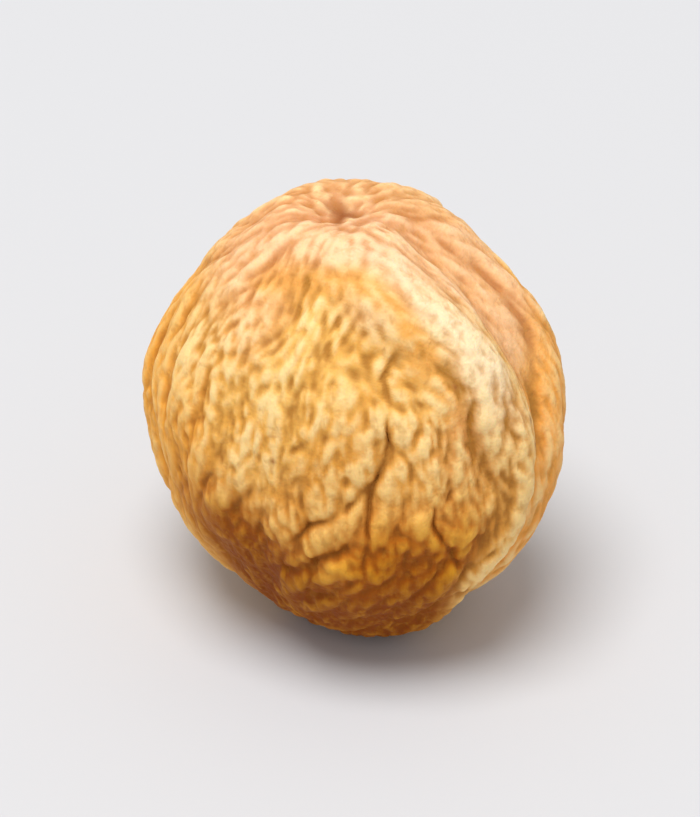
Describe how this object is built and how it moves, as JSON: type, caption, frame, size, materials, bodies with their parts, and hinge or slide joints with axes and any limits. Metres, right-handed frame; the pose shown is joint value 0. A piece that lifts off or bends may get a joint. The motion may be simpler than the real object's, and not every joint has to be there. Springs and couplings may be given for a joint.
{
  "type": "dried apricot",
  "caption": "Whole dried apricot with its stone in: a wrinkled round fruit with a suture furrow and a puckered stem end, standing on a small flat spot.",
  "frame": {"origin": "middle of the fruit's bounding box seen from above, level with the flat spot it stands on", "axes": "+Z from the blunt tip up to the stem end, +X towards the suture furrow, -Y and +Y towards the two cheeks"},
  "size_m": [0.0324, 0.0258, 0.0349],
  "materials": {
    "apricot_skin": "matte"
  },
  "bodies": {
    "root": {"apricot": "apricot_skin"}
  },
  "joints": []
}
